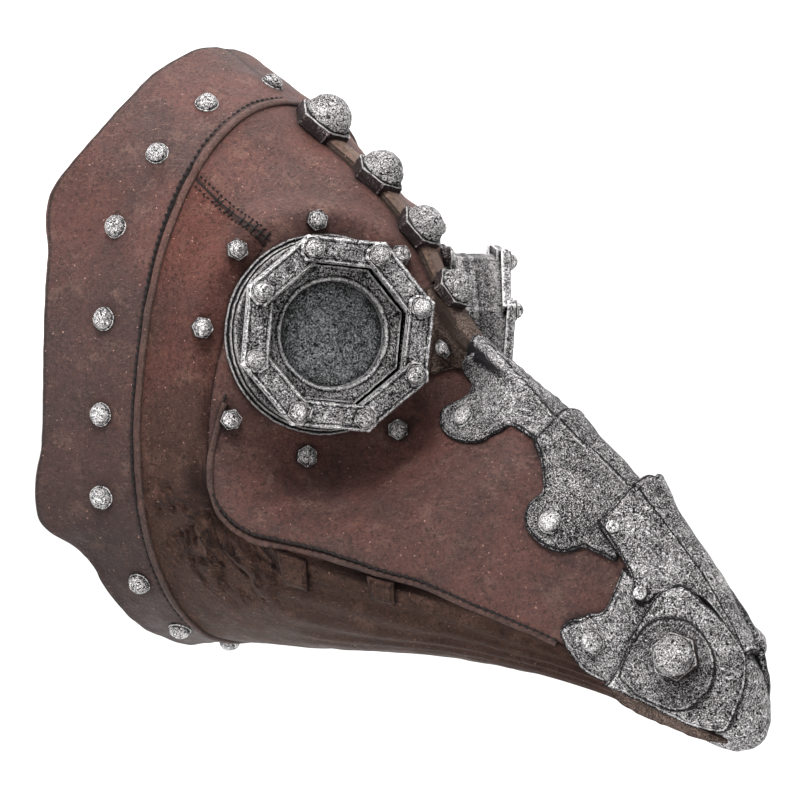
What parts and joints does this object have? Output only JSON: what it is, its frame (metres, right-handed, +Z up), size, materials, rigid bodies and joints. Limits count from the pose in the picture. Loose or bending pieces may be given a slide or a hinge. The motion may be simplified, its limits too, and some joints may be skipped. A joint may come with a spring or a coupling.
{
  "type": "plague doctor mask",
  "caption": "Long-beaked face mask in brown leather with octagonal bolted eyepieces, metal beak plates, a riveted collar and an elastic head strap with a slider.",
  "frame": {"origin": "on the mask's mirror plane at the height of the eyepieces' middles, in the plane of the collar's four rear lugs, where the face opening lies", "axes": "+Z up as worn; the mask faces -Y, so the beak runs towards -Y and the face opening is at +Y; the wearer's right is -X"},
  "size_m": [0.1708, 0.2697, 0.2597],
  "materials": {
    "brown_leather": "dark brown aged leather with a dull waxed sheen",
    "dark_piping": "near-black rubbed leather cord with stitch holes",
    "bridge_metal": "bronze-brown wash over rough metal",
    "antique_silver": "antique silver dry-brushed over black, rough cast texture",
    "bright_fasteners": "lighter dry-brushed silver, rough cast texture",
    "bolt_steel": "plain steel",
    "smoked_lens": "dark smoked lens, scuffed and speckled with silver",
    "black_rubber": "matt black",
    "strap_webbing": "black woven elastic",
    "black_plastic": "satin black"
  },
  "bodies": {
    "mask": {"brow_panel_right": "brown_leather", "brow_panel_left": "brown_leather", "jaw_panel_right": "brown_leather", "jaw_panel_left": "brown_leather", "collar_band_right": "brown_leather", "collar_band_left": "brown_leather", "collar_piping": "dark_piping", "beak_piping_right": "dark_piping", "beak_piping_left": "dark_piping", "forehead_strip": "brown_leather", "bridge_plate": "bridge_metal", "forehead_cap_nuts": "bright_fasteners", "keeper_tabs": "brown_leather", "beak_plate_rear": "antique_silver", "beak_plate_middle": "antique_silver", "beak_plate_front": "antique_silver", "cheek_plate_right": "antique_silver", "cheek_plate_left": "antique_silver", "tip_plate_right": "antique_silver", "tip_plate_left": "antique_silver", "beak_tip": "antique_silver", "lip_strip_right": "antique_silver", "lip_strip_left": "antique_silver", "boss_disc_right": "antique_silver", "boss_disc_left": "antique_silver", "boss_cap_nuts": "bright_fasteners", "beak_cross_bolt": "bolt_steel", "beak_plate_rivets": "bright_fasteners", "beak_plate_screws": "bright_fasteners", "eye_flange_right": "antique_silver", "eye_flange_left": "antique_silver", "eye_housing_right": "antique_silver", "eye_housing_left": "antique_silver", "bezel_links_right": "antique_silver", "bezel_links_left": "antique_silver", "lens_ring_right": "antique_silver", "lens_ring_left": "antique_silver", "lens_right": "smoked_lens", "lens_left": "smoked_lens", "lens_retainer_right": "black_rubber", "lens_retainer_left": "black_rubber", "bezel_bolts_right": "bright_fasteners", "bezel_bolts_left": "bright_fasteners", "flange_nuts_right": "bright_fasteners", "flange_nuts_left": "bright_fasteners", "collar_rivets": "bright_fasteners", "head_strap": "strap_webbing", "strap_anchor_plates": "bolt_steel"},
    "slider": {"strap_slider": "black_plastic"}
  },
  "joints": [
    {"name": "strap_slide", "type": "slide", "parent": "mask", "child": "slider", "axis": [1, 0, 0], "range_m": [-0.035, 0.035]}
  ]
}
